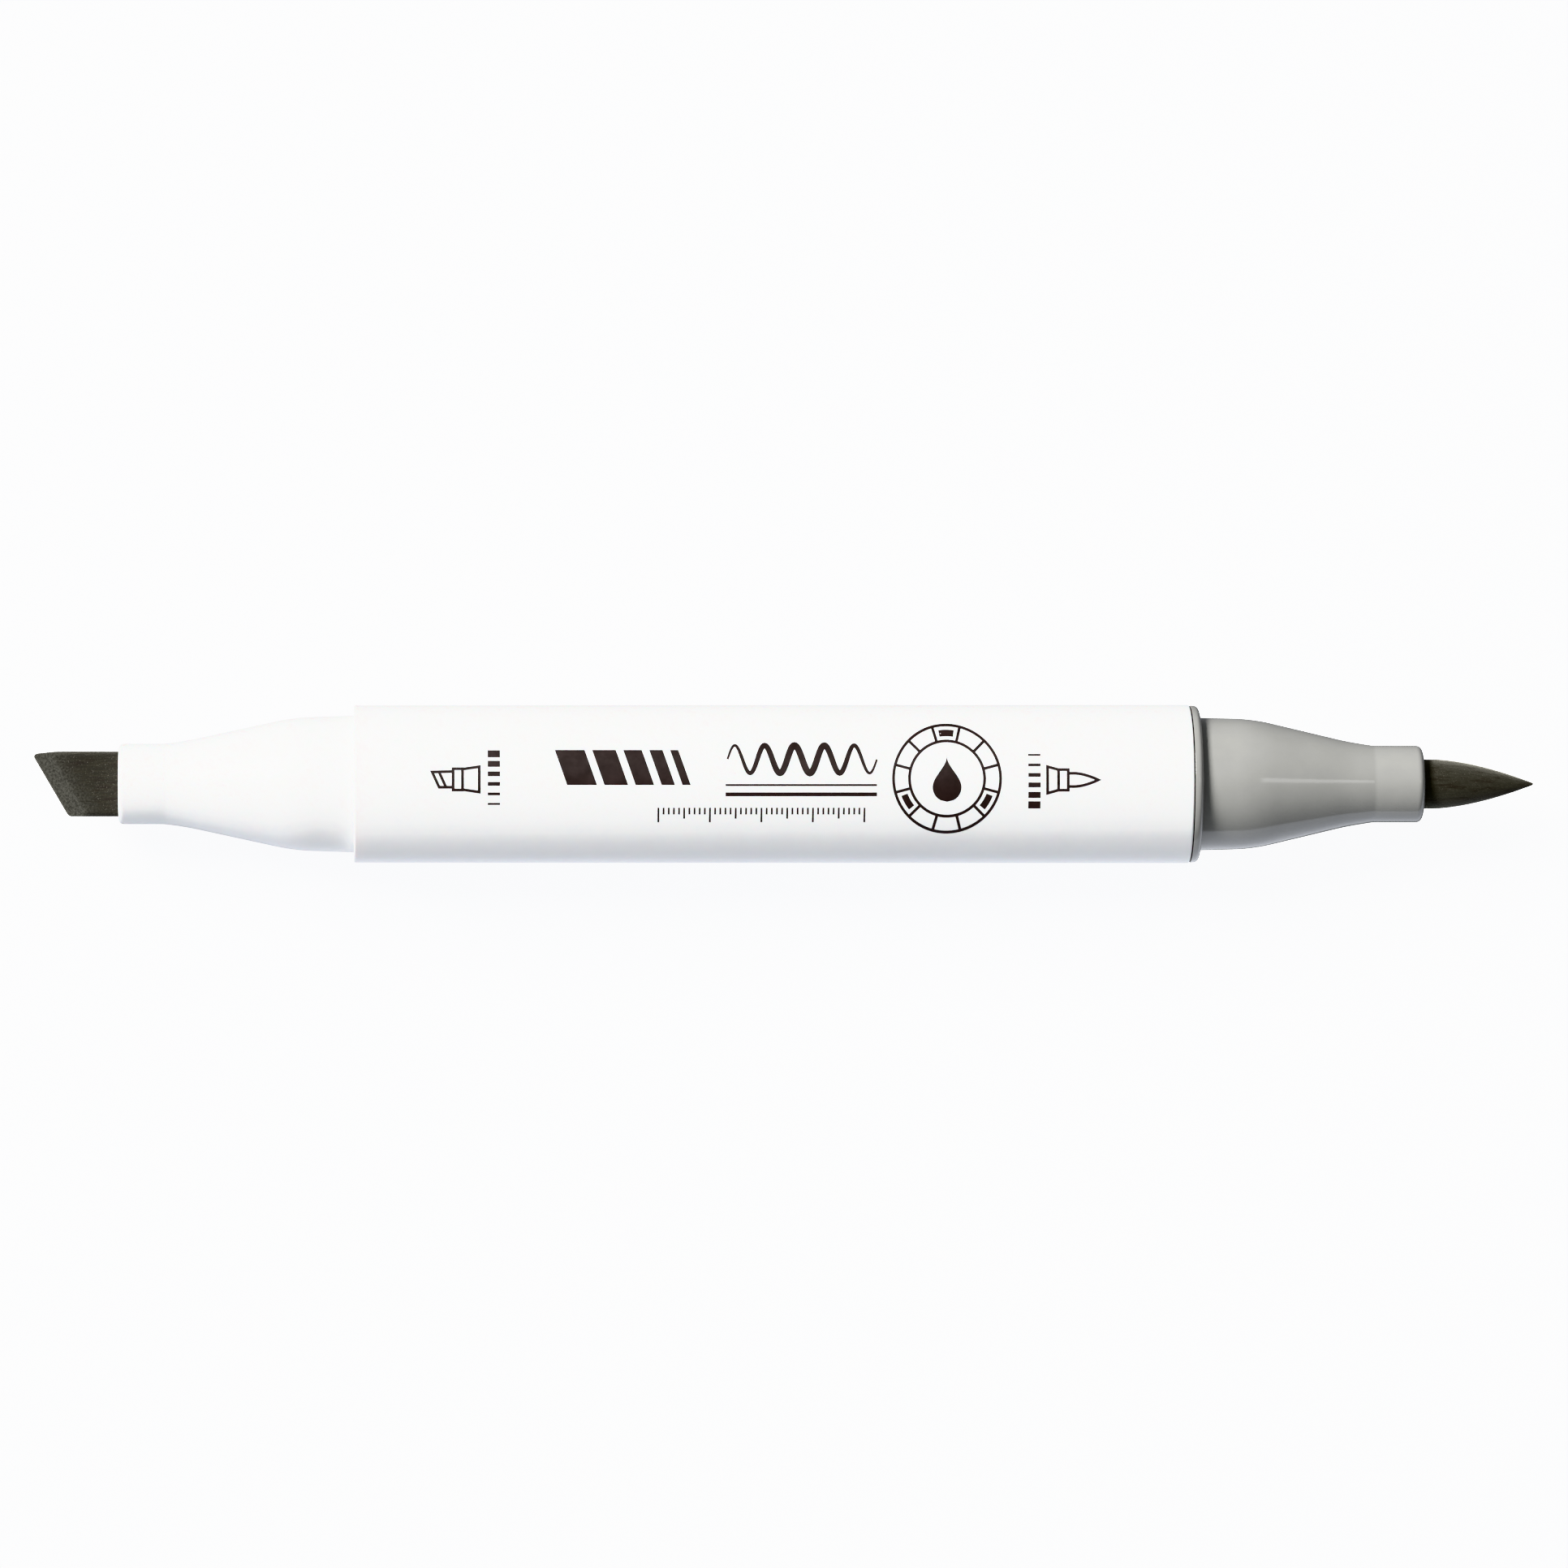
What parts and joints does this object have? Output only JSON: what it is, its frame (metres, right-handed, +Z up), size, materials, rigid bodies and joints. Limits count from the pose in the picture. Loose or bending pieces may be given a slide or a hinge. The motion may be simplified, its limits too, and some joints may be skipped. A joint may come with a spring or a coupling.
{
  "type": "felt tip marker",
  "caption": "Round double-ended felt tip marker without caps: white barrel, slanted chisel nib at one end, pointed brush nib in a grey nozzle at the other.",
  "frame": {"origin": "on the barrel's axis, half way between the two nib tips, at the centre of the object's box", "axes": "+X runs along the marker from the chisel nib to the brush nib, +Z is up from the surface that the marker lies on, which is the direction the broad face of the chisel nib and the print look; +Y is the side of the chisel nib's long point"},
  "size_m": [0.1466, 0.0154, 0.0154],
  "materials": {
    "white_plastic": "satin",
    "grey_plastic": "gloss",
    "chisel_felt": "matte",
    "brush_felt": "matte",
    "reservoir_fibre": "matte",
    "film": "gloss",
    "print_ink": "satin"
  },
  "bodies": {
    "marker_body": {"barrel": "white_plastic", "brush_nozzle": "grey_plastic", "ink_reservoir": "reservoir_fibre", "reservoir_film": "film"},
    "chisel_nib": {"chisel_nib": "chisel_felt"},
    "brush_nib": {"brush_nib": "brush_felt"}
  },
  "joints": [
    {"name": "chisel_nib_slide", "type": "slide", "parent": "marker_body", "child": "chisel_nib", "axis": [-1, 0, 0], "range_m": [0, 0.035]},
    {"name": "brush_nib_slide", "type": "slide", "parent": "marker_body", "child": "brush_nib", "axis": [1, 0, 0], "range_m": [0, 0.04]}
  ]
}
